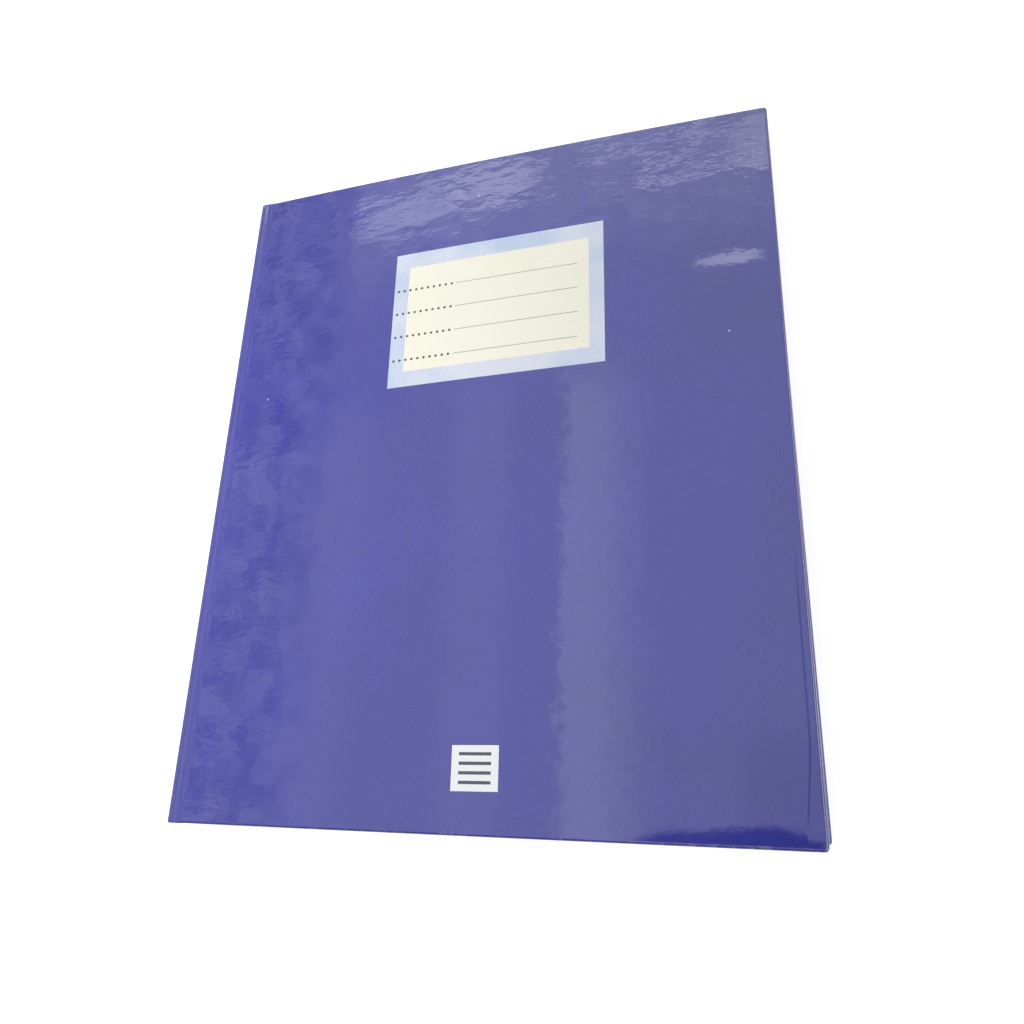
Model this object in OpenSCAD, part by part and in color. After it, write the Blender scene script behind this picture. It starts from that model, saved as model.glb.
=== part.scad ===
// Hardcover notebook: a laminated case of board and paper around a sewn block of folded sections.
// It lies closed on its back cover. The origin is under the middle of the cover, on the table.
// +X runs from the spine to the fore-edge, +Y from the tail to the head, and +Z up.

/* [Case] */
// Width of the closed cover, from the face of the spine to the fore-edge
cover_w = 172; // [120:1:260]
// Height of the cover, from tail to head
cover_h = 206; // [140:1:320]
// Thickness of the two cover boards
board_t = 2; // [1.2:0.1:3]
// Thickness of the card strip in the spine
spine_card_t = 1; // [0.6:0.1:1.2]
// Thickness of the laminated covering paper
paper_t = 0.2; // [0.1:0.05:0.3]
// Distance from the face of the spine to the edge of each board
joint_w = 5.4; // [5:0.1:9]
// Width of the groove pressed into the joint
groove_w = 2.4; // [1:0.1:2.6]
// Depth of the groove pressed into the joint
groove_d = 0.5; // [0.2:0.1:0.8]
// Width of the covering paper that is turned in over the boards
turn_in = 15; // [8:1:25]
// Radius of the boards' corners at the fore-edge
corner_r = 1.6; // [0.5:0.1:4]

/* [Pages] */
// How far the cover stands past the pages at head, tail and fore-edge
square_w = 3; // [1.5:0.5:6]
// Number of sewn sections
section_count = 10; // [4:2:14]
// Folded sheets in a section
sheets_per_section = 5; // [2:1:7]
// Thickness of one leaf
leaf_t = 0.075; // [0.05:0.005:0.12]
// Air between two leaves of a section
leaf_gap = 0.01; // [0.005:0.005:0.02]
// Air between two sections, and between the pages and the covers
stack_gap = 0.04; // [0.02:0.01:0.1]
// Thickness of the endpapers
endpaper_t = 0.15; // [0.1:0.01:0.25]

/* [Back of the block] */
// Hollow between the spine and the folds of the sections
hollow = 1.6; // [1.2:0.1:3]
// Columns of stitches along the folds
stitch_columns = 8; // [3:1:14]
// Width of a column of stitches
stitch_w = 1.2; // [0.5:0.1:3]
// Distance from the tail or head of the pages to the first column
stitch_margin = 16; // [8:1:30]
// Thickness of the glue film, and of the stitches that lie in it
glue_t = 0.1; // [0.05:0.05:0.2]
// Thickness of the gauze
mull_t = 0.12; // [0.06:0.02:0.2]
// Distance from the tail or head of the pages to the end of the gauze
mull_margin = 8; // [2:1:30]
// Thickness of the lining paper
lining_t = 0.1; // [0.05:0.05:0.2]
// Distance from the tail or head of the pages to the end of the lining
lining_margin = 4; // [1:1:30]

/* [Hidden] */
$fn = 48;

// Play between the spine card and the covers
card_play = 0.1;
// Overshoot of cutting shapes past the faces they cut
cut = 1;

spine_x = -cover_w / 2;
spine_wall = paper_t + spine_card_t + paper_t;
cover_in = paper_t + board_t + paper_t;
cover_wall = cover_in + endpaper_t;

section_t = 2 * sheets_per_section * (leaf_t + leaf_gap) - leaf_gap;
block_t = 2 * endpaper_t + section_count * section_t + (section_count - 1) * stack_gap;
total_t = 2 * cover_wall + 2 * stack_gap + block_t;
block_z = cover_wall + stack_gap;

board_x = spine_x + joint_w;
groove_x = spine_x + (spine_wall + joint_w) / 2;
fold_x = spine_x + spine_wall + hollow;
fore_x = cover_w / 2 - square_w;
page_w = fore_x - fold_x;
page_h = cover_h - 2 * square_w;
window_x = cover_w / 2 - turn_in;
window_h = cover_h - 2 * turn_in;
card_w = total_t - 2 * paper_t - 2 * card_play;

laminate_blue = "#4b499d";
board_grey = "#9b948a";
endpaper_white = "#f1efe8";
page_white = "#f6f5f1";
thread_white = "#e9e6da";
glue_clear = "#d9cda6";
gauze_white = "#e3ddca";
kraft_brown = "#b58f63";

function two_digits(i) = str(i < 10 ? "0" : "", i);
function section_name(i) = str("section_", two_digits(i));
function section_z(i) = block_z + endpaper_t + (section_count - i) * (section_t + stack_gap);

SECTION_NODES = [for (i = [1 : section_count]) section_name(i)];

// Stands a profile drawn in X and Z along the whole of a height in Y
module along_y(height) {
    translate([0, height / 2, 0]) rotate([90, 0, 0]) linear_extrude(height) children();
}

// Turns a piece of the back cover over into the same piece of the front cover
module front_side() {
    translate([0, 0, total_t]) mirror([0, 0, 1]) children();
}

// Panel outline with two round corners at the fore-edge
module panel_outline(x0, x1, height, radius) {
    translate([x0, -height / 2]) square([x1 - radius - x0, height]);
    translate([x0, radius - height / 2]) square([x1 - x0, height - 2 * radius]);
    for (side = [-1, 1]) translate([x1 - radius, side * (height / 2 - radius)]) circle(radius);
}

// Opening between the turn-ins, from the face of the board up
module turn_in_window(inset, z, height) {
    translate([board_x - cut, inset - window_h / 2, z])
        cube([window_x - inset - board_x + cut, window_h - 2 * inset, height]);
}

module cover_board() {
    translate([0, 0, paper_t]) linear_extrude(board_t)
        panel_outline(board_x, cover_w / 2 - paper_t, cover_h - 2 * paper_t, corner_r);
}

// Covering paper wrapped round three edges of a board
module wrapped_panel() {
    difference() {
        linear_extrude(cover_in) panel_outline(board_x, cover_w / 2, cover_h, corner_r + paper_t);
        translate([0, 0, paper_t]) linear_extrude(board_t)
            panel_outline(board_x - cut, cover_w / 2 - paper_t, cover_h - 2 * paper_t, corner_r);
        turn_in_window(0, paper_t + board_t / 2, board_t);
    }
}

// Covering paper across the joint, mitred at the edge of the spine and pressed into a groove
module joint_sheet() {
    along_y(cover_h) polygon([
        [spine_x, 0],
        [groove_x - groove_w / 2, 0],
        [groove_x - groove_w / 4, groove_d],
        [groove_x + groove_w / 4, groove_d],
        [groove_x + groove_w / 2, 0],
        [board_x + paper_t, 0],
        [board_x + paper_t, paper_t],
        [groove_x + groove_w / 2, paper_t],
        [groove_x + groove_w / 4, groove_d + paper_t],
        [groove_x - groove_w / 4, groove_d + paper_t],
        [groove_x - groove_w / 2, paper_t],
        [spine_x + paper_t, paper_t]
    ]);
}

module cover_paper() {
    wrapped_panel();
    joint_sheet();
}

// Endpaper pasted over the turn-ins and pressed down between them
module pastedown() {
    face_z = paper_t + board_t;
    difference() {
        translate([board_x, -page_h / 2, face_z]) cube([fore_x - board_x, page_h, paper_t + endpaper_t]);
        difference() {
            translate([board_x - cut, -cover_h / 2, face_z - cut]) cube([cover_w, cover_h, paper_t + cut]);
            turn_in_window(0, face_z - 2 * cut, paper_t + 4 * cut);
        }
        turn_in_window(endpaper_t, face_z + endpaper_t, paper_t + cut);
    }
}

module flyleaf(z) {
    translate([fold_x, -page_h / 2, z]) cube([page_w, page_h, endpaper_t]);
}

// One sheet folded round the sheets inside it
module folded_sheet(inset) {
    fold_h = section_t - 2 * inset;
    along_y(page_h) difference() {
        translate([fold_x + inset, inset]) square([page_w - inset, fold_h]);
        translate([fold_x + inset + leaf_t, inset + leaf_t]) square([page_w, fold_h - 2 * leaf_t]);
    }
}

// Strip on the back of the block, a given distance out from the folds
module back_strip(offset_x, thickness, margin) {
    translate([fold_x - offset_x - thickness, margin - page_h / 2, block_z])
        cube([thickness, page_h - 2 * margin, block_t]);
}

// Columns of stitches, with room to cut them out of the glue
module stitch_rows(thickness, clearance) {
    pitch = (page_h - 2 * stitch_margin - stitch_w) / (stitch_columns - 1);
    for (i = [0 : stitch_columns - 1])
        translate([fold_x - thickness, stitch_margin - page_h / 2 + i * pitch, block_z - clearance])
            cube([thickness + clearance, stitch_w, block_t + 2 * clearance]);
}

module front_board() {
    color(board_grey) front_side() cover_board();
}

module back_board() {
    color(board_grey) cover_board();
}

module spine_card() {
    color(board_grey)
        translate([spine_x + paper_t, paper_t - cover_h / 2, paper_t + card_play])
            cube([spine_card_t, cover_h - 2 * paper_t, card_w]);
}

module front_cover_paper() {
    color(laminate_blue) front_side() cover_paper();
}

module back_cover_paper() {
    color(laminate_blue) cover_paper();
}

// Face of the spine with mitred edges, turned in over both ends of the card
module spine_cover_paper() {
    color(laminate_blue) {
        along_y(cover_h) polygon([
            [spine_x, 0],
            [spine_x, total_t],
            [spine_x + paper_t, total_t - paper_t],
            [spine_x + paper_t, paper_t]
        ]);
        for (side = [0, 1]) mirror([0, side, 0]) difference() {
            translate([spine_x, cover_h / 2 - turn_in, paper_t + card_play])
                cube([spine_wall, turn_in, card_w]);
            translate([spine_x + paper_t, cover_h / 2 - turn_in - cut, 0])
                cube([spine_card_t, turn_in + cut - paper_t, total_t]);
        }
    }
}

module front_pastedown() {
    color(endpaper_white) front_side() pastedown();
}

module back_pastedown() {
    color(endpaper_white) pastedown();
}

module front_flyleaf() {
    color(endpaper_white) flyleaf(block_z + block_t - endpaper_t);
}

module back_flyleaf() {
    color(endpaper_white) flyleaf(block_z);
}

module section(i) {
    color(page_white) translate([0, 0, section_z(i)])
        for (sheet = [0 : sheets_per_section - 1]) folded_sheet(sheet * (leaf_t + leaf_gap));
}

module sewing_thread() {
    color(thread_white) stitch_rows(glue_t, 0);
}

module spine_glue() {
    color(glue_clear) difference() {
        back_strip(0, glue_t, 0);
        stitch_rows(glue_t + cut, cut);
    }
}

module spine_mull() {
    color(gauze_white) back_strip(glue_t, mull_t, mull_margin);
}

module spine_lining() {
    color(kraft_brown) back_strip(glue_t + mull_t, lining_t, lining_margin);
}

front_board();
back_board();
spine_card();
front_cover_paper();
spine_cover_paper();
back_cover_paper();
front_pastedown();
back_pastedown();
front_flyleaf();
back_flyleaf();
sewing_thread();
spine_glue();
spine_mull();
spine_lining();
for (i = [1 : section_count]) section(i);
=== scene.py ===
"""Looks of a hardcover notebook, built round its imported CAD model. Lengths are in metres."""

import math
import random

import bmesh
import bpy
from mathutils import Euler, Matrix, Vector


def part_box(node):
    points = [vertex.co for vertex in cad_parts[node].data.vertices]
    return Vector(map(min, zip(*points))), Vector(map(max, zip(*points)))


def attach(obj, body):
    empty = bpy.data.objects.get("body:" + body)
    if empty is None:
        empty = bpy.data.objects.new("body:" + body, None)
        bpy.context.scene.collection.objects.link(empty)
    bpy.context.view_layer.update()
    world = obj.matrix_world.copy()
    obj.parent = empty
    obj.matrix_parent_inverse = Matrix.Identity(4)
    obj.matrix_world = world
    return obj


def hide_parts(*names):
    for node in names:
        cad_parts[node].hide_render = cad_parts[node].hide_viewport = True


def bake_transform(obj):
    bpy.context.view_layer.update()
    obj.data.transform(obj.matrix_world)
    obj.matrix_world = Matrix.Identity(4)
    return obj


MM = 0.001
JOIN_DISTANCE = 1e-7

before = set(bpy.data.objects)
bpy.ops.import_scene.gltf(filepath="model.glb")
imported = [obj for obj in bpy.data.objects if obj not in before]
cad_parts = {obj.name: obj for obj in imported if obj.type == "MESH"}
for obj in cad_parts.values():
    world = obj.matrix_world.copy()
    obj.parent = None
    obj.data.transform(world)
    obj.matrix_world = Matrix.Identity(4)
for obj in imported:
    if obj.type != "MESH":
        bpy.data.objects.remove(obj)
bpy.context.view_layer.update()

# Places read from the frame
front_low, front_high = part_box("front_cover_paper")
board_low, board_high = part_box("front_board")
card_low, card_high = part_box("spine_card")
pasted_low, pasted_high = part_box("front_pastedown")
lower_low, lower_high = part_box("section_06")
upper_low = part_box("section_05")[0]
SPINE_X = front_low.x
COVER_X = front_high.x
COVER_Y = front_high.y
TOTAL_T = front_high.z
COVER_IN = front_high.z - front_low.z
BOARD_X = board_low.x
PAPER_T = front_high.z - board_high.z
GUTTER_Z = (lower_high.z + upper_low.z) / 2
SECTION_PITCH = upper_low.z - lower_low.z
SECTION_COUNT = sum(name.startswith("section_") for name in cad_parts)

# Sizes of the case
EDGE_R = 0.7 * MM
CORNER_R = 1.1 * MM
FACE_X = COVER_X - EDGE_R
FACE_Y = COVER_Y - EDGE_R
FACE_R = CORNER_R - EDGE_R
FOLD_R = 0.9 * MM
SEAM_X = SPINE_X + 1.1 * MM
GROOVE_X = SPINE_X + 3.4 * MM
GROOVE_HALF = 1.9 * MM
GROOVE_D = 0.08 * MM
JOINT_FLANGE = 0.5 * MM
JOINT_RAMP = (BOARD_X - 0.6 * MM, BOARD_X - 0.1 * MM)
TURN_IN = 15 * MM
TURN_IN_STEP = 1.0 * MM
BOARD_FALL = 0.3 * MM
BOARD_SOFT = 0.4 * MM

# Crease of the film beside the fore-edge, with the places along it where it leans and fades
CREASE_INSET = 2.3 * MM
CREASE_LEAN = 2.0 * MM
CREASE_W = 0.35 * MM
CREASE_D = 0.035 * MM
CREASE_ROOM = 6.0 * MM
CREASE_LEANS = (-0.75 * COVER_Y, -COVER_Y)
CREASE_HEAD = (-0.5 * COVER_Y, -0.2 * COVER_Y)
CREASE_TAIL = (-0.98 * COVER_Y, -0.92 * COVER_Y)

# How the covers have warped, and how far the tail of each has shifted across and its fore-edge along
FRONT_BOW = 1.0 * MM
BACK_BOW = 0.6 * MM
FRONT_SHIFT = (-0.15 * MM, -0.6 * MM)
BACK_SHIFT = (0.9 * MM, 0.6 * MM)

# Sizes of the pages and of the back of the block
SHEETS = 5
LEAF_T = 0.075 * MM
LEAF_PITCH = 0.085 * MM
TRIM_JITTER = 0.12 * MM
LINE_PITCH = 8 * MM
RULE_W = 0.3 * MM
RULED_Y = (-90 * MM, 78 * MM)
MARGIN_X = 58 * MM
TONES_PER_METRE = 11800
THREAD_T = 0.02 * MM
FAN_TURN = math.radians(1.5)
FAN_SPARE = 0.6

# Printed label and patch on the front cover
LABEL_AT = (3.5 * MM, 47.1 * MM)
LABEL_SIZE = (67.2 * MM, 47.7 * MM)
FIELD_AT = (3.7 * MM, 46.95 * MM)
FIELD_SIZE = (57.9 * MM, 37.2 * MM)
PATCH_AT = (3.8 * MM, -86.95 * MM)
PATCH_SIZE = (12.5 * MM, 11.1 * MM)
PRINT_TURN = math.radians(0.5)
ROW_TOP = 57.25 * MM
ROW_PITCH = 8.28 * MM
ROW_COUNT = 4
LINE_X = 10.0 * MM
LINE_LENGTH = 38.4 * MM
LINE_W = 0.24 * MM
DOT_SPAN = (-28.65 * MM, -10.7 * MM)
DOT_COUNT = 10
DOT_R = 0.43 * MM
BAR_COUNT = 4
BAR_PITCH = 2.3 * MM
BAR_SIZE = (8.6 * MM, 0.8 * MM)
INK_LIFT = 0.012 * MM

# Heights of the film's unevenness, and the spans over which it starts to wrinkle
WRINKLE_H = 0.1 * MM
SWELL_H = 0.12 * MM
DENT_H = 0.004 * MM
WRINKLED_HEAD = (52 * MM, 84 * MM)
WRINKLED_SPINE = (-75 * MM, -45 * MM)
CALM_TAIL = (-95 * MM, -60 * MM)

# Distances over which the pale film fades: along the edges a painted highlight with some rubbing, at the
# corners rubbing
EDGE_HIGHLIGHT_AND_WEAR = (0.1 * MM, 0.5 * MM)
CORNER_WEAR = (0.4 * MM, 2.0 * MM)

# Camera, from the four corners of the front cover in the photograph
CAMERA_AT = (78.78 * MM, -97.44 * MM, 224.82 * MM)
CAMERA_TURN = (19.928, 17.223, 1.865)
CAMERA_LENS = 30.05

# Stage
FLOOR_Z = -BACK_BOW
FLOOR_SIZE = 6.0
FLOOR_GLOW = 0.72
SOFT_OVERHEAD = 0.03
SOFT_AROUND = 1.4
KEY_AT = (-0.12, 0.0, 0.224)
KEY_SIZE = (0.12, 0.30)
KEY_POWER = 0.41

# Places in the room overhead, as slopes across and along: centre, half size, softness and brightness
ROOM_LEVEL = 1.27
BRIGHT_PLACES = (
    ((-0.53, 0.888), (0.105, 0.04), 0.8, 1.1),
    ((-0.36, 0.905), (0.08, 0.032), 0.8, 1.4),
    ((-0.09, 0.927), (0.15, 0.012), 0.5, 1.0),
    ((-0.02, 0.857), (0.11, 0.013), 0.5, 1.1),
    ((0.065, 0.89), (0.04, 0.04), 0.8, 0.7),
    ((0.01, 0.706), (0.056, 0.0075), 0.2, 1.85),
    ((1.1, 0.0), (0.45, 1.0), 0.12, 2.5),
)
# Bright strips of the room overhead: where each starts, is full, fades and ends across, and its brightness
BRIGHT_BANDS = (
    (-0.68, -0.63, -0.60, -0.54, 0.08),
    (-0.432, -0.402, -0.337, -0.313, 0.15),
    (-0.245, -0.237, -0.21, -0.10, 0.57),
)
DARK_PLACE = (-0.01, -0.052)
DARK_HALF = (0.165, 0.044)
DARK_SOFT = 0.2
# Slopes over which other parts of the room overhead start or end
VEIL_ACROSS = (-0.65, -0.62)
VEIL_ALONG = (0.70, 0.84)
BANDS_END = (0.5, 0.62)
SMUDGED_SIDE = (-0.72, -0.60)
DIM_HEAD = ((-0.56, -0.4), (0.45, 0.6))
DIM_TAIL = ((-0.06, 0.04), (0.02, 0.14))
DIM_STRIP = (0.12, 0.18, 0.45, 0.6)
DIM_BEHIND = (-1.0, -0.4)
DIM_LOW = (0.1, 0.6)
LEAST_RISE = 0.08


# Numbers
def ease(low, high, value):
    """Smooth step from 0 at low to 1 at high."""
    t = min(max((value - low) / (high - low), 0.0), 1.0)
    return t * t * (3 - 2 * t)


def spread(low, high, count):
    """Evenly spaced values from low to high, both included."""
    return [low + (high - low) * i / (count - 1) for i in range(count)]


# Meshes
def new_object(name, vertices, faces, sharp_deg=35):
    mesh = bpy.data.meshes.new(name)
    mesh.from_pydata([tuple(v) for v in vertices], [], faces)
    joined = bmesh.new()
    joined.from_mesh(mesh)
    bmesh.ops.remove_doubles(joined, verts=joined.verts, dist=JOIN_DISTANCE)
    bmesh.ops.dissolve_degenerate(joined, edges=joined.edges, dist=JOIN_DISTANCE)
    joined.to_mesh(mesh)
    joined.free()
    mesh.shade_smooth()
    mesh.set_sharp_from_angle(angle=math.radians(sharp_deg))
    made = bpy.data.objects.new(name, mesh)
    bpy.context.scene.collection.objects.link(made)
    return made


def thicken(obj, thickness):
    """Turns a skin into a closed shell, with the thickness behind its outer face."""
    shell = obj.modifiers.new("thickness", "SOLIDIFY")
    shell.thickness = thickness
    shell.offset = -1
    shell.use_even_offset = True
    graph = bpy.context.evaluated_depsgraph_get()
    solid = bpy.data.meshes.new_from_object(obj.evaluated_get(graph))
    obj.modifiers.clear()
    obj.data = solid
    return obj


def reshape(obj, move):
    """Moves each vertex of a mesh to where a function sends it."""
    for v in obj.data.vertices:
        v.co = move(v.co)
    obj.data.update()
    return obj


def turn_over(obj):
    """Mirrors a piece of the front cover into the same piece of the back cover."""
    for v in obj.data.vertices:
        v.co.z = TOTAL_T - v.co.z
    obj.data.flip_normals()
    return obj


def grid_quads(columns, rows, first=0):
    """Quads that face +Z of a grid whose vertices run row by row, each row along +X."""
    quads = []
    for r in range(rows - 1):
        for c in range(columns - 1):
            a = first + r * columns + c
            quads.append((a, a + 1, a + columns + 1, a + columns))
    return quads


def band_quads(loops, count, closed):
    """Quads between neighbouring loops of the same count of vertices."""
    quads = []
    last = count if closed else count - 1
    for near, far in zip(loops, loops[1:]):
        for i in range(last):
            j = (i + 1) % count
            quads.append((near[i], far[i], far[j], near[j]))
    return quads


def add_slab(vertices, faces, columns, rows, low, high):
    """Adds a closed slab between two height functions over a grid of places."""
    top = len(vertices)
    vertices += [(x, y, high(x, y)) for y in rows for x in columns]
    bottom = len(vertices)
    vertices += [(x, y, low(x, y)) for y in rows for x in columns]
    faces += grid_quads(len(columns), len(rows), top)
    faces += [tuple(reversed(f)) for f in grid_quads(len(columns), len(rows), bottom)]
    rim = rim_of(len(columns), len(rows))
    faces += band_quads([[top + i for i in rim], [bottom + i for i in rim]], len(rim), True)


def slab(name, columns, rows, low, high):
    vertices = []
    faces = []
    add_slab(vertices, faces, columns, rows, low, high)
    return new_object(name, vertices, faces)


def open_rim(columns, rows):
    """Vertices along the tail, fore-edge and head of a grid, counter-clockwise from its first one."""
    tail = list(range(columns))
    fore = [r * columns + columns - 1 for r in range(1, rows)]
    head = [(rows - 1) * columns + c for c in range(columns - 2, -1, -1)]
    return tail + fore + head


def rim_of(columns, rows):
    """Vertices all round a grid, counter-clockwise from its first one."""
    return open_rim(columns, rows) + [r * columns for r in range(rows - 2, 0, -1)]


# Shape of the covers
def groove(x):
    """Depth of the pressed joint at a distance across the cover."""
    across = abs(x - GROOVE_X) / GROOVE_HALF
    return GROOVE_D * (0.5 + 0.5 * math.cos(math.pi * across)) if across < 1 else 0.0


def crease_place(y):
    """Where the film's crease runs beside the fore-edge, leaning inwards at the tail."""
    return COVER_X - CREASE_INSET - CREASE_LEAN * ease(*CREASE_LEANS, y)


def crease(x, y):
    """How far the film lies lower beyond its crease, which fades out towards the head and the tail."""
    past = ease(-CREASE_W / 2, CREASE_W / 2, x - crease_place(y))
    fade = (1 - ease(*CREASE_HEAD, y)) * ease(*CREASE_TAIL, y)
    return CREASE_D * past * fade


def warp(bow, shift):
    """Function that bows a cover between joint and fore-edge and shifts it out of square."""
    middle = (BOARD_X + COVER_X) / 2
    half = (COVER_X - BOARD_X) / 2

    def move(p):
        share = ease(SEAM_X, BOARD_X, p.x)
        arch = max(0.0, 1 - ((p.x - middle) / half) ** 2)
        return Vector((
            p.x + shift[0] * share * (COVER_Y - p.y) / (2 * COVER_Y),
            p.y + shift[1] * share * (p.x - SPINE_X) / (COVER_X - SPINE_X),
            p.z + bow * arch,
        ))

    return move


warp_front = warp(FRONT_BOW, FRONT_SHIFT)
warp_back = warp(-BACK_BOW, BACK_SHIFT)


def round_corner(x, y, limit_x, limit_y, radius):
    """Bends the square corners of a grid at the fore-edge into round ones."""
    dx = x - (limit_x - radius)
    dy = abs(y) - (limit_y - radius)
    if dx <= 0 or dy <= 0:
        return x, y
    pull = max(dx, dy) / math.hypot(dx, dy)
    return limit_x - radius + dx * pull, math.copysign(limit_y - radius + dy * pull, y)


def outward(x, y, limit_x, limit_y, radius):
    """Direction out of the outline at a place on the edge of the grid."""
    dx = max(x - (limit_x - radius), 0.0)
    dy = max(abs(y) - (limit_y - radius), 0.0)
    if dx == 0 and dy == 0:
        return -1.0, 0.0
    length = math.hypot(dx, dy)
    return dx / length, math.copysign(dy / length, y)


def end_steps(limit, radius, count=4):
    """Places close together at a corner, from its start to the edge."""
    return spread(limit - radius, limit, count + 1)[1:]


def edge_profile(depth):
    """Pairs of how far out and how far down the covering paper goes round the edge of a board."""
    radius = min(EDGE_R, depth / 2)
    angles = [math.radians(a) for a in (22.5, 45, 67.5, 90)]
    over = [(EDGE_R * math.sin(a), radius * (1 - math.cos(a))) for a in angles]
    under = [(EDGE_R * math.cos(a), depth - radius * (1 - math.sin(a))) for a in [0.0] + angles]
    inside = [(-s, depth) for s in (TURN_IN * 0.1, TURN_IN * 0.4, TURN_IN - EDGE_R)]
    return over + under + inside


def both_ways(inner, count, outer):
    """Evenly spaced values between two opposite limits, and the given places beyond both of them."""
    return [-v for v in reversed(outer)] + spread(-inner, inner, count) + outer


def cover_grid():
    """Rows of places on the flat of the front cover, close together at its joint, crease and edges."""
    inner = spread(SEAM_X, BOARD_X, 22) + spread(BOARD_X, COVER_X - CREASE_ROOM, 44)[1:]
    outer = end_steps(FACE_X, FACE_R)
    grid = []
    for y in both_ways(FACE_Y - FACE_R, 61, end_steps(FACE_Y, FACE_R)):
        creased = [crease_place(y) + side * CREASE_W for side in (-1.5, -0.5, 0, 0.5, 1.5)]
        grid.append([(x, y) for x in inner + creased + outer])
    return grid


def cover_face(x, y):
    """Point of the front cover's outer face at a place of its grid."""
    px, py = round_corner(x, y, FACE_X, FACE_Y, FACE_R)
    return px, py, TOTAL_T - groove(px) - crease(px, py)


def turned_in(place, point, step):
    """Point of the covering paper some steps round the edge from a point of its outer face."""
    x, y = place
    depth = JOINT_FLANGE + (COVER_IN - JOINT_FLANGE) * ease(*JOINT_RAMP, x)
    out, down = edge_profile(depth)[step]
    nx, ny = outward(x, y, FACE_X, FACE_Y, FACE_R)
    px, py = point[0] + out * nx, point[1] + out * ny
    if out < 0:
        px = min(px, FACE_X + out)
        py = max(min(py, FACE_Y + out), -FACE_Y - out)
    return px, py, point[2] - down


def case_paper(name):
    """Covering paper of the front cover: outer face with the pressed joint, edges and turn-ins."""
    grid = cover_grid()
    columns, rows = len(grid[0]), len(grid)
    places = [place for row in grid for place in row]
    vertices = [cover_face(x, y) for x, y in places]
    path = open_rim(columns, rows)
    loops = [path]
    for step in range(len(edge_profile(COVER_IN))):
        first = len(vertices)
        vertices += [turned_in(places[i], vertices[i], step) for i in path]
        loops.append(list(range(first, len(vertices))))
    faces = grid_quads(columns, rows) + band_quads(loops, len(path), False)
    return thicken(new_object(name, vertices, faces), PAPER_T)


def case_board(name):
    """Grey board inside the covering paper, with softened edges."""
    x_edge, y_edge = board_high.x, board_high.y
    columns = spread(BOARD_X, x_edge - CORNER_R, 20) + end_steps(x_edge, CORNER_R, 5)
    rows = both_ways(y_edge - CORNER_R, 24, end_steps(y_edge, CORNER_R, 5))

    def fall(x, y):
        inset = min(x_edge - x, y_edge - abs(y), x - BOARD_X)
        return BOARD_FALL * (1 - ease(0, BOARD_SOFT, inset))

    made = slab(
        name, columns, rows,
        lambda x, y: board_low.z + fall(x, y),
        lambda x, y: board_high.z - fall(x, y),
    )
    return reshape(made, lambda p: Vector((*round_corner(p.x, p.y, x_edge, y_edge, CORNER_R), p.z)))


def pasted_endpaper(name):
    """Endpaper pasted inside the cover, over the step of the turn-ins."""
    step_x, step_y = COVER_X - TURN_IN, COVER_Y - TURN_IN
    inner_x, inner_y = step_x - TURN_IN_STEP, step_y - TURN_IN_STEP
    columns = spread(pasted_low.x, inner_x, 18) + spread(step_x, pasted_high.x, 8)
    rows = both_ways(inner_y, 24, spread(step_y, pasted_high.y, 8))
    thickness = pasted_high.z - pasted_low.z - PAPER_T

    def top(x, y):
        inside = ease(0, TURN_IN_STEP, min(step_x - x, step_y - abs(y)))
        return pasted_low.z + thickness + PAPER_T * inside

    return slab(name, columns, rows, lambda x, y: top(x, y) - thickness, top)


def wrapped_stations(ends):
    """Places along a strip, as pairs of Y and depth, with both ends turned in by a profile."""
    tail = [(-(FACE_Y + out), down) for out, down in reversed(ends)]
    head = [(FACE_Y + out, down) for out, down in ends]
    return tail + [(y, 0.0) for y in spread(-FACE_Y, FACE_Y, 31)] + head


def fold_strip(name):
    """Covering paper round the edge of the spine, from the spine's face to the front cover."""
    profile = []
    for a in spread(0, math.pi / 2, 9):
        nx, nz = -math.cos(a), math.sin(a)
        profile.append((SPINE_X + FOLD_R * (1 + nx), TOTAL_T - FOLD_R * (1 - nz), nx, nz))
    profile.append((SEAM_X, TOTAL_T, 0.0, 1.0))
    stations = wrapped_stations(edge_profile(JOINT_FLANGE)[:7])
    vertices = [(x - nx * down, y, z - nz * down) for y, down in stations for x, z, nx, nz in profile]
    return thicken(new_object(name, vertices, grid_quads(len(profile), len(stations))), PAPER_T)


def spine_paper(name):
    """Covering paper on the face of the spine, turned in over both ends of the card."""
    wall = card_high.x - SPINE_X + PAPER_T
    stations = wrapped_stations(edge_profile(wall))
    rows = 9
    vertices = []
    for y, down in stations:
        margin = FOLD_R + (card_low.z - FOLD_R) * down / wall
        vertices += [(SPINE_X + down, y, z) for z in spread(margin, TOTAL_T - margin, rows)]
    return thicken(new_object(name, vertices, grid_quads(rows, len(stations))), PAPER_T)


# Printed areas
def on_cover(centre):
    """Function that turns print slightly about a centre and lays it on the face of the front cover."""
    def move(p):
        dx, dy = p.x - centre[0], p.y - centre[1]
        turned = Vector((
            centre[0] + dx * math.cos(PRINT_TURN) - dy * math.sin(PRINT_TURN),
            centre[1] + dx * math.sin(PRINT_TURN) + dy * math.cos(PRINT_TURN),
            p.z,
        ))
        return warp_front(turned)

    return move


def printed_areas(name, centre, places, size, lift, cells=(24, 18)):
    """Thin printed areas of one size, turned about a common centre."""
    vertices = []
    faces = []
    for x, y in places:
        add_slab(
            vertices, faces,
            spread(x - size[0] / 2, x + size[0] / 2, cells[0]),
            spread(y - size[1] / 2, y + size[1] / 2, cells[1]),
            lambda x, y: TOTAL_T - lift,
            lambda x, y: TOTAL_T + lift,
        )
    return reshape(new_object(name, vertices, faces), on_cover(centre))


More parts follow.
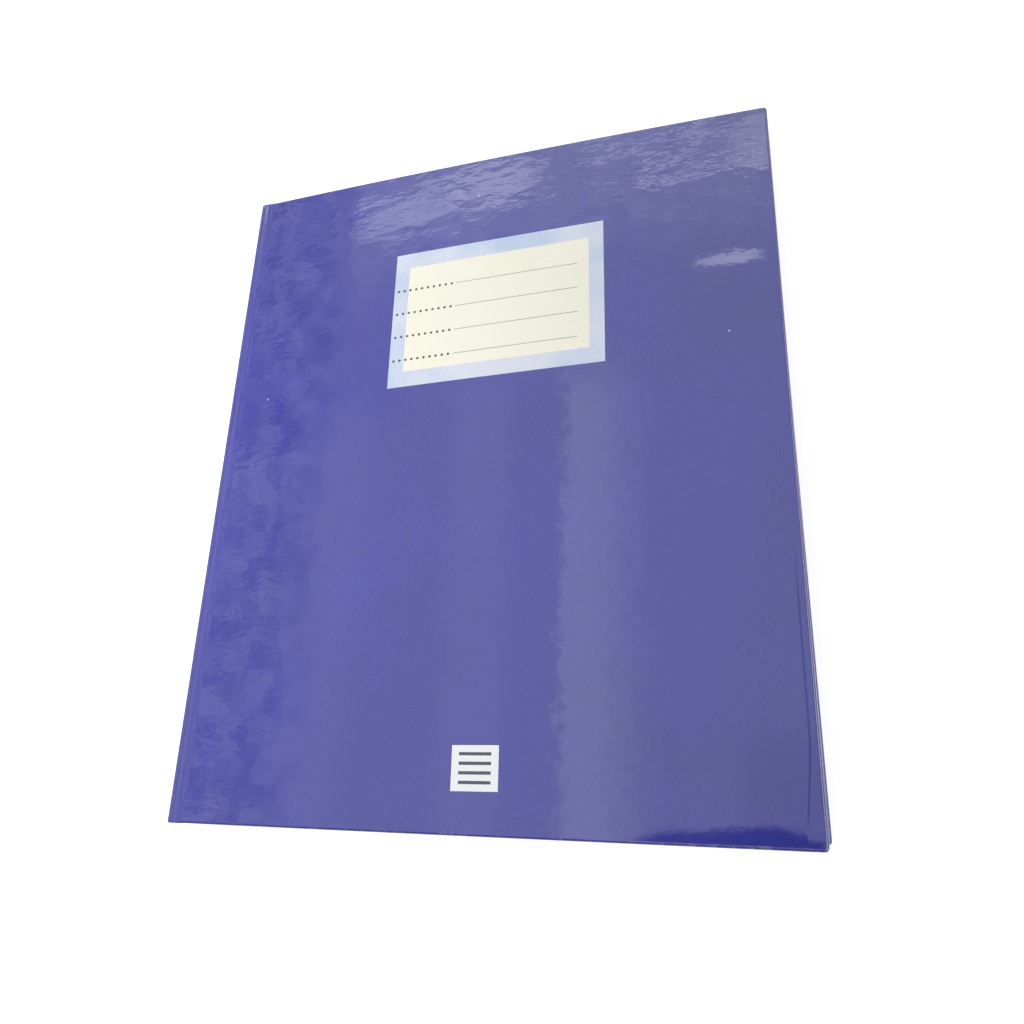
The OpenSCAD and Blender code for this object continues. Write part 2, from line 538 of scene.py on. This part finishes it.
def printed_dots(name, centre, places, radius, lift, count=16):
    """Thin round dots of one size, turned about a common centre."""
    vertices = []
    faces = []
    turns = [2 * math.pi * i / count for i in range(count)]
    for x, y in places:
        first = len(vertices)
        for z in (TOTAL_T - lift, TOTAL_T + lift):
            vertices += [(x + radius * math.cos(a), y + radius * math.sin(a), z) for a in turns]
        low = list(range(first, first + count))
        high = [i + count for i in low]
        faces += [tuple(high), tuple(reversed(low))]
        faces += band_quads([high, low], count, True)
    return reshape(new_object(name, vertices, faces), on_cover(centre))


# Pages
def section_pages(name, node, rng):
    """Nested folded sheets of one section, each with a round fold and its own trimmed edges."""
    low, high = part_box(node)
    middle = (low.z + high.z) / 2
    outer = (high.z - low.z) / 2
    centre_x = low.x + outer
    vertices = []
    faces = []
    for sheet in range(SHEETS):
        radius = outer - sheet * LEAF_PITCH
        fores = [high.x - rng.uniform(0, TRIM_JITTER) for _ in range(2)]
        ends = [side * (high.y - rng.uniform(0, TRIM_JITTER)) for side in (-1, 1)]
        paths = [leaf_path(centre_x, middle, r, fores) for r in (radius, radius - LEAF_T)]
        add_sheet(vertices, faces, paths, ends)
    return new_object(name, vertices, faces, sharp_deg=25)


def leaf_path(centre_x, middle, radius, fores):
    """Line of one side of a folded sheet in X and Z, from the upper fore-edge round the fold."""
    turns = spread(math.pi / 2, 1.5 * math.pi, 9)
    arc = [(centre_x + radius * math.cos(a), middle + radius * math.sin(a)) for a in turns]
    upper = [(x, middle + radius) for x in spread(fores[0], centre_x, 6)[:-1]]
    lower = [(x, middle - radius) for x in spread(centre_x, fores[1], 6)[1:]]
    return upper + arc + lower


def add_sheet(vertices, faces, paths, ends):
    """Adds the closed mesh of a folded sheet between two lines and two ends."""
    count = len(paths[0])
    loops = []
    for path in paths:
        for y in ends:
            loops.append(list(range(len(vertices), len(vertices) + count)))
            vertices += [(x, y, z) for x, z in path]
    outer_tail, outer_head, inner_tail, inner_head = loops
    ring = [outer_tail, outer_head, inner_head, inner_tail, outer_tail]
    for near, far in zip(ring, ring[1:]):
        faces += [(near[i], near[i + 1], far[i + 1], far[i]) for i in range(count - 1)]
    faces.append((outer_tail[0], outer_head[0], inner_head[0], inner_tail[0]))
    faces.append((outer_tail[-1], inner_tail[-1], inner_head[-1], outer_head[-1]))


# Back of the block
def clear_of_folds(p):
    """Moves a point outwards by a little more than the folds turn out of line when the block is open."""
    past = max(abs(p.z - GUTTER_Z) - SECTION_PITCH, 0.0)
    return Vector((p.x - FAN_TURN / 2 * past * (past / SECTION_PITCH + 1 + FAN_SPARE), p.y, p.z))


def back_layer(name, node, rng, relief):
    """Layer on the back of the block, with a slightly uneven outer face."""
    low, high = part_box(node)
    heights = spread(low.z, high.z, 41)
    stations = spread(low.y, high.y, 61)
    outer = {(y, z): low.x + rng.uniform(0, relief) for y in stations for z in heights}
    made = slab(
        name, heights, stations,
        lambda z, y: -high.x,
        lambda z, y: -outer[y, z],
    )
    return reshape(made, lambda p: Vector((-p.z, p.y, p.x)))


def stitch_columns(name, node):
    """Columns of linked stitches, narrow between the sections and full on each fold."""
    low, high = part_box(node)
    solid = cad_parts[node].data.vertices
    edges = sorted({round(v.co.y, 5) for v in solid})
    starts = edges[0::2]
    width = edges[1] - edges[0]
    heights = spread(low.z, high.z, 81)
    across = spread(-1, 1, 7)
    vertices = []
    faces = []
    for start in starts:
        first = len(vertices)
        middle = start + width / 2
        for z in heights:
            swell = 0.72 + 0.28 * math.cos(2 * math.pi * (z - low.z) / SECTION_PITCH)
            for s in across:
                rise = (high.x - low.x) * math.sqrt(1 - 0.96 * s * s)
                vertices.append((high.x - rise, middle - s * swell * width / 2, z))
        faces += grid_quads(len(across), len(heights), first)
    return thicken(new_object(name, vertices, faces), THREAD_T)


# Materials
class Tree:
    """Short calls for building the nodes of a material or world."""

    def __init__(self, owner):
        owner.use_nodes = True
        self.tree = owner.node_tree
        self.tree.nodes.clear()

    def add(self, kind, inputs=(), **settings):
        node = self.tree.nodes.new(kind)
        for key, value in settings.items():
            setattr(node, key, value)
        for socket, value in dict(inputs).items():
            self.put(node.inputs[socket], value)
        return node

    def put(self, socket, value):
        if isinstance(value, bpy.types.NodeSocket):
            self.tree.links.new(value, socket)
        else:
            socket.default_value = value

    def math(self, operation, a, b=0.0):
        node = self.add("ShaderNodeMath", operation=operation)
        self.put(node.inputs[0], a)
        self.put(node.inputs[1], b)
        return node.outputs[0]

    def product(self, first, *others):
        for other in others:
            first = self.math("MULTIPLY", first, other)
        return first

    def total(self, first, *others):
        for other in others:
            first = self.math("ADD", first, other)
        return first

    def without(self, value):
        """What a share leaves of 1."""
        return self.math("SUBTRACT", 1.0, value)

    def ease(self, value, low, high):
        node = self.add(
            "ShaderNodeMapRange",
            {"Value": value, "From Min": low, "From Max": high},
            interpolation_type="SMOOTHSTEP",
        )
        return node.outputs["Result"]

    def mix(self, factor, a, b):
        node = self.add("ShaderNodeMix", data_type="RGBA", clamp_factor=True)
        self.put(node.inputs[0], factor)
        self.put(node.inputs[6], a)
        self.put(node.inputs[7], b)
        return node.outputs[2]

    def parts(self, vector):
        """The sockets of a vector's three parts."""
        return tuple(self.add("ShaderNodeSeparateXYZ", {"Vector": vector}).outputs)

    def flat(self, x, y):
        """Vector of two parts."""
        return self.add("ShaderNodeCombineXYZ", {"X": x, "Y": y}).outputs[0]

    def place(self, scale=(1, 1, 1)):
        """Object coordinates, stretched."""
        coordinates = self.add("ShaderNodeTexCoord")
        mapping = self.add("ShaderNodeMapping", {"Vector": coordinates.outputs["Object"], "Scale": scale})
        return mapping.outputs[0]

    def noise(self, vector, scale, detail=4.0, roughness=0.55):
        node = self.add(
            "ShaderNodeTexNoise",
            {"Vector": vector, "Scale": scale, "Detail": detail, "Roughness": roughness},
        )
        return node.outputs[0]

    def bump(self, height, distance, normal=None):
        inputs = {"Height": height, "Distance": distance, "Strength": 1.0}
        if normal is not None:
            inputs["Normal"] = normal
        return self.add("ShaderNodeBump", inputs).outputs[0]


def srgb(red, green, blue):
    """Linear colour, with alpha, of an 8-bit sRGB one."""
    def linear(v):
        v = v / 255
        return v / 12.92 if v <= 0.04045 else ((v + 0.055) / 1.055) ** 2.4

    return linear(red), linear(green), linear(blue), 1.0


def new_material(name):
    """A material, and the tree to build its nodes in."""
    material = bpy.data.materials.new(name)
    return material, Tree(material)


def surface(tree, inputs):
    """Ends a material's nodes with a principled shader."""
    shader = tree.add("ShaderNodeBsdfPrincipled", inputs)
    tree.add("ShaderNodeOutputMaterial", {"Surface": shader.outputs[0]})


def film_ripple(tree):
    """Normal of the glossy film: wrinkles, strongest by head and spine, over a slow unevenness."""
    x, y, _ = tree.parts(tree.place())
    near_head = tree.ease(y, *WRINKLED_HEAD)
    near_spine = tree.product(tree.without(tree.ease(x, *WRINKLED_SPINE)), 0.7)
    off_tail = tree.product(tree.ease(y, *CALM_TAIL), 0.1)
    lifted = tree.math("MAXIMUM", tree.math("MAXIMUM", near_head, near_spine), off_tail)
    wrinkles = tree.noise(tree.place((0.6, 1.3, 1)), 120, 3.0, 0.5)
    swells = tree.noise(tree.place(), 30, 2.0, 0.5)
    dents = tree.noise(tree.place(), 420, 2.0, 0.5)
    slow = tree.bump(swells, SWELL_H)
    dented = tree.bump(dents, DENT_H, slow)
    return tree.bump(tree.product(wrinkles, lifted), WRINKLE_H, dented)


def edge_highlight_and_corner_wear(tree):
    """Share of paleness in spots along the edges and corners of the case: along the edges a painted
    highlight with some rubbing, at the corners rubbing of the film.
    """
    x, y, z = tree.parts(tree.place())
    from_fore = tree.math("SUBTRACT", COVER_X, tree.math("ABSOLUTE", x))
    from_head = tree.math("SUBTRACT", COVER_Y, tree.math("ABSOLUTE", y))
    off_middle = tree.math("ABSOLUTE", tree.math("SUBTRACT", z, TOTAL_T / 2))
    from_face = tree.math("MAXIMUM", tree.math("SUBTRACT", TOTAL_T / 2, off_middle), 0.0)
    nearer = tree.math("MINIMUM", from_fore, from_head)
    farther = tree.math("MAXIMUM", from_fore, from_head)
    edge = tree.math("MAXIMUM", nearer, tree.math("MINIMUM", farther, from_face))
    corner = tree.math("MAXIMUM", farther, from_face)
    spots = tree.noise(tree.place(), 430, 4.0, 0.65)
    highlight_by_edge = tree.without(tree.ease(edge, *EDGE_HIGHLIGHT_AND_WEAR))
    by_corner = tree.without(tree.ease(corner, *CORNER_WEAR))
    # Along the edges the paleness is a painted highlight with some rubbing; at the corners it is rubbing
    painted_edge_highlight = tree.product(highlight_by_edge, tree.ease(spots, 0.5, 0.7), 0.2)
    at_corner = tree.product(by_corner, tree.ease(spots, 0.45, 0.6), 0.7)
    return tree.math("MAXIMUM", painted_edge_highlight, at_corner)


def specks(tree):
    """Share of paleness on a few specks scattered over the film."""
    cells = tree.add(
        "ShaderNodeTexVoronoi",
        {"Vector": tree.place(), "Scale": 28.0},
        voronoi_dimensions="2D",
    )
    chosen = tree.add("ShaderNodeSeparateColor", {"Color": cells.outputs["Color"]})
    dot = tree.without(tree.ease(cells.outputs["Distance"], 0.006, 0.013))
    return tree.product(dot, tree.math("GREATER_THAN", chosen.outputs["Red"], 0.9), 0.6)


def laminated(name, dark, pale, cloud_scale, grain_share=0.1, worn_and_highlit=False):
    """Printed paper under a glossy film, clouded between two colours, with a fine paper grain."""
    material, tree = new_material(name)
    cloud = tree.noise(tree.place(), cloud_scale, 3.0)
    grain = tree.noise(tree.place((1, 0.35, 1)), 1500, 2.0)
    mixed = tree.total(tree.product(cloud, 1 - grain_share), tree.product(grain, grain_share))
    share = tree.ease(mixed, 0.38, 0.62)
    ink = tree.mix(share, dark, pale)
    if worn_and_highlit:
        # Pale colour mixed in for a painted highlight along the edges, and for rubbing at the corners and
        # specks
        rubbed_and_highlit = tree.math("MAXIMUM", edge_highlight_and_corner_wear(tree), specks(tree))
        ink = tree.mix(rubbed_and_highlit, ink, srgb(206, 206, 220))
    ripple = film_ripple(tree)
    haze = tree.noise(tree.place(), 60, 3.0)
    surface(tree, {
        "Base Color": ink,
        "Roughness": tree.product(haze, 0.08),
        "Normal": ripple,
        "Coat Weight": 1.0,
        "Coat Roughness": 0.02,
        "Coat IOR": 1.5,
        "Coat Normal": ripple,
    })
    return material


def paper(name, colour, shade, ruled=False):
    """Uncoated paper with fibres, a little difference from leaf to leaf and, on pages, ruled lines."""
    material, tree = new_material(name)
    leaf = tree.noise(tree.place((2, 2, TONES_PER_METRE)), 1.0, 1.0)
    fibre = tree.noise(tree.place((1, 3, 1)), 900, 4.0)
    mixed = tree.total(tree.product(leaf, 0.6), tree.product(fibre, 0.4))
    base = tree.mix(tree.ease(mixed, 0.3, 0.75), colour, shade)
    if ruled:
        base = tree.mix(ruled_lines(tree), base, srgb(150, 170, 205))
        base = tree.mix(margin_line(tree), base, srgb(214, 140, 140))
    surface(tree, {
        "Base Color": base,
        "Roughness": 0.85,
        "Specular IOR Level": 0.25,
        "Normal": tree.bump(fibre, 0.01 * MM),
    })
    return material


def on_page_face(tree):
    """1 on the flat of a page, 0 on its edges."""
    geometry = tree.add("ShaderNodeNewGeometry")
    _, _, upright = tree.parts(geometry.outputs["Normal"])
    return tree.math("GREATER_THAN", tree.math("ABSOLUTE", upright), 0.7)


def thin_line(tree, value, width):
    """1 within half a width of zero."""
    return tree.math("LESS_THAN", tree.math("ABSOLUTE", value), width / 2)


def ruled_lines(tree):
    """Feint lines across a page, with room left at head and tail."""
    _, y, _ = tree.parts(tree.place())
    step = tree.math("PINGPONG", tree.math("ADD", y, 1.0), LINE_PITCH / 2)
    line = thin_line(tree, step, RULE_W)
    above_tail = tree.math("GREATER_THAN", y, RULED_Y[0])
    below_head = tree.math("LESS_THAN", y, RULED_Y[1])
    return tree.product(line, above_tail, below_head, on_page_face(tree))


def margin_line(tree):
    """Upright line beside the outer margin."""
    x, _, _ = tree.parts(tree.place())
    line = thin_line(tree, tree.math("SUBTRACT", x, MARGIN_X), RULE_W)
    return tree.product(line, on_page_face(tree))


def grey_board():
    material, tree = new_material("grey_board")
    flecks = tree.noise(tree.place(), 1400, 5.0, 0.7)
    layers = tree.noise(tree.place((20, 20, 5000)), 1.0, 2.0)
    base = tree.mix(tree.ease(flecks, 0.35, 0.7), srgb(148, 140, 128), srgb(176, 169, 158))
    base = tree.mix(tree.product(layers, 0.3), base, srgb(128, 120, 110))
    surface(tree, {"Base Color": base, "Roughness": 0.9, "Normal": tree.bump(flecks, 0.03 * MM)})
    return material


def woven(name, colour, shade, threads):
    """Open weave of two sets of threads across the back of the block."""
    material, tree = new_material(name)
    _, y, z = tree.parts(tree.place())
    waves = [tree.math("SINE", tree.product(way, threads)) for way in (y, z)]
    thread = tree.math("MAXIMUM", *[tree.math("ABSOLUTE", wave) for wave in waves])
    base = tree.mix(tree.ease(thread, 0.5, 0.95), shade, colour)
    surface(tree, {"Base Color": base, "Roughness": 0.95, "Normal": tree.bump(thread, 0.06 * MM)})
    return material


def glue():
    material, tree = new_material("glue")
    cloud = tree.noise(tree.place(), 220, 3.0)
    base = tree.mix(tree.ease(cloud, 0.3, 0.7), srgb(242, 238, 226), srgb(228, 221, 203))
    surface(tree, {
        "Base Color": base,
        "Roughness": 0.35,
        "Subsurface Weight": 0.2,
        "Subsurface Radius": (1.0 * MM, 0.8 * MM, 0.5 * MM),
        "Normal": tree.bump(cloud, 0.08 * MM),
    })
    return material


# Putting pieces in place
def dress(obj, material, slot):
    obj.data.materials.clear()
    obj.data.materials.append(material)
    return obj


def dress_node(node, material):
    """Gives a CAD node that stays in view its material."""
    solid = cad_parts[node]
    solid.data.materials.clear()
    solid.data.materials.append(material)


COVER_BLUE = laminated("cover_film", srgb(42, 45, 150), srgb(47, 49, 161), 22, 0.4, worn_and_highlit=True)
LABEL_BLUE = laminated("label_border_film", srgb(186, 208, 238), srgb(222, 226, 240), 28)
LABEL_CREAM = laminated("label_field_film", srgb(249, 246, 224), srgb(251, 248, 230), 30)
LINE_GREY = laminated("label_line_ink", srgb(166, 162, 142), srgb(180, 176, 156), 300)
DOT_GREY = laminated("label_dot_ink", srgb(60, 60, 54), srgb(70, 70, 62), 300)
PATCH_WHITE = laminated("patch_film", srgb(246, 248, 248), srgb(248, 250, 250), 30)
BAR_BLUE = laminated("patch_bar_ink", srgb(30, 36, 76), srgb(38, 44, 86), 300)
PAGE = paper("page_paper", srgb(238, 236, 229), srgb(226, 223, 213), ruled=True)
ENDPAPER = paper("endpaper_paper", srgb(236, 233, 223), srgb(224, 220, 207))
KRAFT = paper("kraft_paper", srgb(181, 143, 99), srgb(158, 120, 80))
BOARD = grey_board()
GAUZE = woven("gauze_weave", srgb(232, 226, 208), srgb(190, 178, 150), 4200)
THREAD = woven("thread_twist", srgb(238, 234, 222), srgb(206, 200, 184), 16000)
GLUE = glue()


def make_cover(side, body, move):
    """The pieces of one cover, in place of its CAD nodes."""
    back = side == "back"
    finish = turn_over if back else (lambda made: made)
    skin = dress(reshape(finish(case_paper(side + "_case_paper")), move), COVER_BLUE, "laminate")
    board = dress(reshape(finish(case_board(side + "_case_board")), move), BOARD, "board")
    lining = dress(reshape(finish(pasted_endpaper(side + "_endpaper")), move), ENDPAPER, "endpaper")
    for piece, node in ((skin, "_cover_paper"), (board, "_board"), (lining, "_pastedown")):
        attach(piece, body)
        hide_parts(side + node)
    fold = dress(finish(fold_strip(side + "_fold")), COVER_BLUE, "laminate")
    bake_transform(fold)


def make_spine():
    spine = dress(spine_paper("spine_case_paper"), COVER_BLUE, "laminate")
    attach(spine, "spine")
    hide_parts("spine_cover_paper")
    dress_node("spine_card", BOARD)


def make_print():
    """Name label and patch, printed on the front cover under its film."""
    row_heights = [ROW_TOP - i * ROW_PITCH for i in range(ROW_COUNT)]
    line_places = [(LINE_X, y) for y in row_heights]
    dot_places = [(x, y) for y in row_heights for x in spread(*DOT_SPAN, DOT_COUNT)]
    reach = BAR_PITCH * (BAR_COUNT - 1) / 2
    bar_places = [(PATCH_AT[0], PATCH_AT[1] + rise) for rise in spread(-reach, reach, BAR_COUNT)]
    border = printed_areas("label_border", LABEL_AT, [LABEL_AT], LABEL_SIZE, INK_LIFT)
    field = printed_areas("label_field", LABEL_AT, [FIELD_AT], FIELD_SIZE, 2 * INK_LIFT)
    lines = printed_areas("label_lines", LABEL_AT, line_places, (LINE_LENGTH, LINE_W), 3 * INK_LIFT, (16, 2))
    dots = printed_dots("label_dots", LABEL_AT, dot_places, DOT_R, 3 * INK_LIFT)
    patch = printed_areas("cover_patch", PATCH_AT, [PATCH_AT], PATCH_SIZE, INK_LIFT, (8, 8))
    bars = printed_areas("patch_bars", PATCH_AT, bar_places, BAR_SIZE, 2 * INK_LIFT, (8, 2))
    inks = (
        (border, LABEL_BLUE), (field, LABEL_CREAM), (patch, PATCH_WHITE),
        (lines, LINE_GREY), (dots, DOT_GREY), (bars, BAR_BLUE),
    )
    for piece, material in inks:
        dress(piece, material, "laminate")
        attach(piece, "front_cover")


def make_pages():
    rng = random.Random(7)
    for i in range(1, SECTION_COUNT + 1):
        node = f"section_{i:02d}"
        pages = dress(section_pages(f"pages_{i:02d}", node, rng), PAGE, "page")
        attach(pages, node)
        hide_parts(node)
    for node in ("front_flyleaf", "back_flyleaf"):
        dress_node(node, ENDPAPER)


def make_back_of_block():
    """Stitches, glue, gauze and lining on the back of the block, moved clear of where the folds turn out
    when the block opens in the middle.
    """
    rng = random.Random(11)
    layers = (
        (stitch_columns("stitches", "sewing_thread"), THREAD, "thread", "sewing_thread"),
        (back_layer("glue_film", "spine_glue", rng, 0.03 * MM), GLUE, "glue", "spine_glue"),
        (back_layer("gauze", "spine_mull", rng, 0.01 * MM), GAUZE, "gauze", "spine_mull"),
        (back_layer("kraft_lining", "spine_lining", rng, 0.01 * MM), KRAFT, "kraft", "spine_lining"),
    )
    for piece, material, slot, node in layers:
        dress(reshape(piece, clear_of_folds), material, slot)
        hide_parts(node)
        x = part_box(node)[0].x
        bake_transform(piece)


# Stage
def make_floor():
    """Pale floor that stays white round the object and keeps its shadow."""
    material, tree = new_material("floor")
    mottle = tree.noise(tree.place(), 3, 2.0)
    pale = tree.mix(mottle, (0.80, 0.80, 0.80, 1), (0.83, 0.83, 0.83, 1))
    diffuse = tree.add("ShaderNodeBsdfDiffuse", {"Color": pale})
    strength = tree.product(seen_or_mirrored(tree), FLOOR_GLOW)
    glow = tree.add("ShaderNodeEmission", {"Strength": strength})
    both = tree.add("ShaderNodeAddShader", {0: diffuse.outputs[0], 1: glow.outputs[0]})
    tree.add("ShaderNodeOutputMaterial", {"Surface": both.outputs[0]})
    half = FLOOR_SIZE / 2
    corners = [(x * half, y * half, FLOOR_Z) for x, y in ((-1, -1), (1, -1), (1, 1), (-1, 1))]
    floor = new_object("floor", corners, [(0, 1, 2, 3)])
    floor.data.materials.append(material)


def seen_or_mirrored(tree):
    """1 for rays from the camera, from glossy surfaces and through clear ones."""
    path = tree.add("ShaderNodeLightPath")
    direct = tree.math("MAXIMUM", path.outputs["Is Camera Ray"], path.outputs["Is Glossy Ray"])
    return tree.math("MAXIMUM", direct, path.outputs["Is Transmission Ray"])


def oval(tree, across, along, centre, half, softness):
    """1 inside an oval of the room overhead, 0 outside it."""
    x = tree.math("DIVIDE", tree.math("SUBTRACT", across, centre[0]), half[0])
    y = tree.math("DIVIDE", tree.math("SUBTRACT", along, centre[1]), half[1])
    distance = tree.total(tree.product(x, x), tree.product(y, y))
    return tree.without(tree.ease(distance, 1 - softness, 1 + softness))


def within(tree, value, start, full, fade, end):
    """Rises from 0 at start to 1 at full, and falls from there at fade to 0 at end."""
    return tree.product(tree.ease(value, start, full), tree.without(tree.ease(value, fade, end)))


def gleams(tree, across, along):
    """Streaky veil over the head of the cover, and the bright places with their uneven edges."""
    stretched = tree.flat(tree.product(across, 0.4), along)
    streaks = tree.ease(tree.noise(stretched, 60, 4.0, 0.65), 0.35, 0.65)
    veil = tree.total(tree.product(streaks, 0.5), 0.05)
    light = tree.product(tree.ease(across, *VEIL_ACROSS), tree.ease(along, *VEIL_ALONG), veil)
    uneven = tree.total(along, tree.product(tree.noise(stretched, 110, 4.0, 0.7), 0.024), -0.012)
    for centre, half, softness, brightness in BRIGHT_PLACES:
        place = oval(tree, across, uneven, centre, half, softness)
        light = tree.total(light, tree.product(place, brightness))
    return light


def bands(tree, across, along):
    """Bright strips with ragged edges, which end towards the head."""
    ragged = tree.noise(tree.flat(across, along), 70, 5.0, 0.8)
    place = tree.total(across, tree.product(ragged, 0.12), -0.06)
    strips = [tree.product(within(tree, place, *span), brightness) for *span, brightness in BRIGHT_BANDS]
    return tree.product(tree.total(*strips), tree.without(tree.ease(along, *BANDS_END)))


def dim_sides(tree, across, along):
    """What the room lacks in brightness at its sides, in smudges at the left."""
    mottle = tree.ease(tree.noise(tree.flat(across, along), 20, 5.0, 0.7), 0.35, 0.65)
    smudges = tree.total(tree.product(mottle, 0.7), -0.12)
    left = tree.product(tree.without(tree.ease(across, *SMUDGED_SIDE)), smudges)
    head = tree.product(tree.without(tree.ease(across, *DIM_HEAD[0])), tree.ease(along, *DIM_HEAD[1]), 0.2)
    tail = tree.product(tree.ease(across, *DIM_TAIL[0]), tree.without(tree.ease(along, *DIM_TAIL[1])), 0.2)
    right = tree.product(within(tree, across, *DIM_STRIP), 0.5)
    return tree.total(left, head, tail, right)


def room_overhead(tree):
    """Brightness of the room that the film mirrors, by slope across and along from straight up."""
    x, y, rise = tree.parts(tree.add("ShaderNodeTexCoord").outputs["Generated"])
    height = tree.math("MAXIMUM", rise, LEAST_RISE)
    across = tree.math("DIVIDE", x, height)
    along = tree.math("DIVIDE", y, height)
    bright = tree.total(gleams(tree, across, along), bands(tree, across, along), ROOM_LEVEL)
    level = tree.math("SUBTRACT", bright, dim_sides(tree, across, along))
    dark = tree.product(oval(tree, across, along, DARK_PLACE, DARK_HALF, DARK_SOFT), 0.8)
    behind = tree.product(tree.without(tree.ease(along, *DIM_BEHIND)), 0.7)
    low = tree.product(tree.without(tree.ease(rise, *DIM_LOW)), 0.4)
    return tree.product(level, tree.without(dark), tree.without(behind), tree.without(low))


def make_world():
    """White surroundings for the camera, soft light for the object and a room for its film to mirror."""
    world = bpy.data.worlds.new("studio")
    bpy.context.scene.world = world
    tree = Tree(world)
    path = tree.add("ShaderNodeLightPath")
    glossy = path.outputs["Is Glossy Ray"]
    _, _, rise = tree.parts(tree.add("ShaderNodeTexCoord").outputs["Generated"])
    around = tree.product(tree.without(tree.math("ABSOLUTE", rise)), SOFT_AROUND)
    soft = tree.product(tree.without(glossy), tree.total(around, SOFT_OVERHEAD))
    strength = tree.total(tree.product(glossy, room_overhead(tree)), soft)
    clear = tree.math("MAXIMUM", path.outputs["Is Camera Ray"], path.outputs["Is Transmission Ray"])
    strength = tree.math("MAXIMUM", strength, clear)
    sky = tree.add("ShaderNodeBackground", {"Color": (0.98, 0.99, 1.0, 1), "Strength": strength})
    tree.add("ShaderNodeOutputWorld", {"Surface": sky.outputs[0]})


def make_key_lamp():
    """Soft area lamp that shines straight down, and whose own shape the film doesn't mirror."""
    lamp = bpy.data.lights.new("key", "AREA")
    lamp.shape = "RECTANGLE"
    lamp.size, lamp.size_y = KEY_SIZE
    lamp.energy = KEY_POWER
    key = bpy.data.objects.new("key", lamp)
    key.location = KEY_AT
    key.visible_glossy = False
    key.visible_camera = False
    bpy.context.scene.collection.objects.link(key)


def make_camera():
    lens = bpy.data.cameras.new("camera")
    lens.lens = CAMERA_LENS
    lens.sensor_width = 36
    lens.clip_start = 0.01
    camera = bpy.data.objects.new("camera", lens)
    camera.location = CAMERA_AT
    camera.rotation_euler = Euler([math.radians(a) for a in CAMERA_TURN], "XYZ")
    bpy.context.scene.collection.objects.link(camera)
    bpy.context.scene.camera = camera


make_cover("front", "front_cover", warp_front)
make_cover("back", "back_cover", warp_back)
make_spine()
make_print()
make_pages()
make_back_of_block()
make_floor()
make_world()
make_key_lamp()
make_camera()
bpy.context.scene.view_settings.view_transform = "Standard"
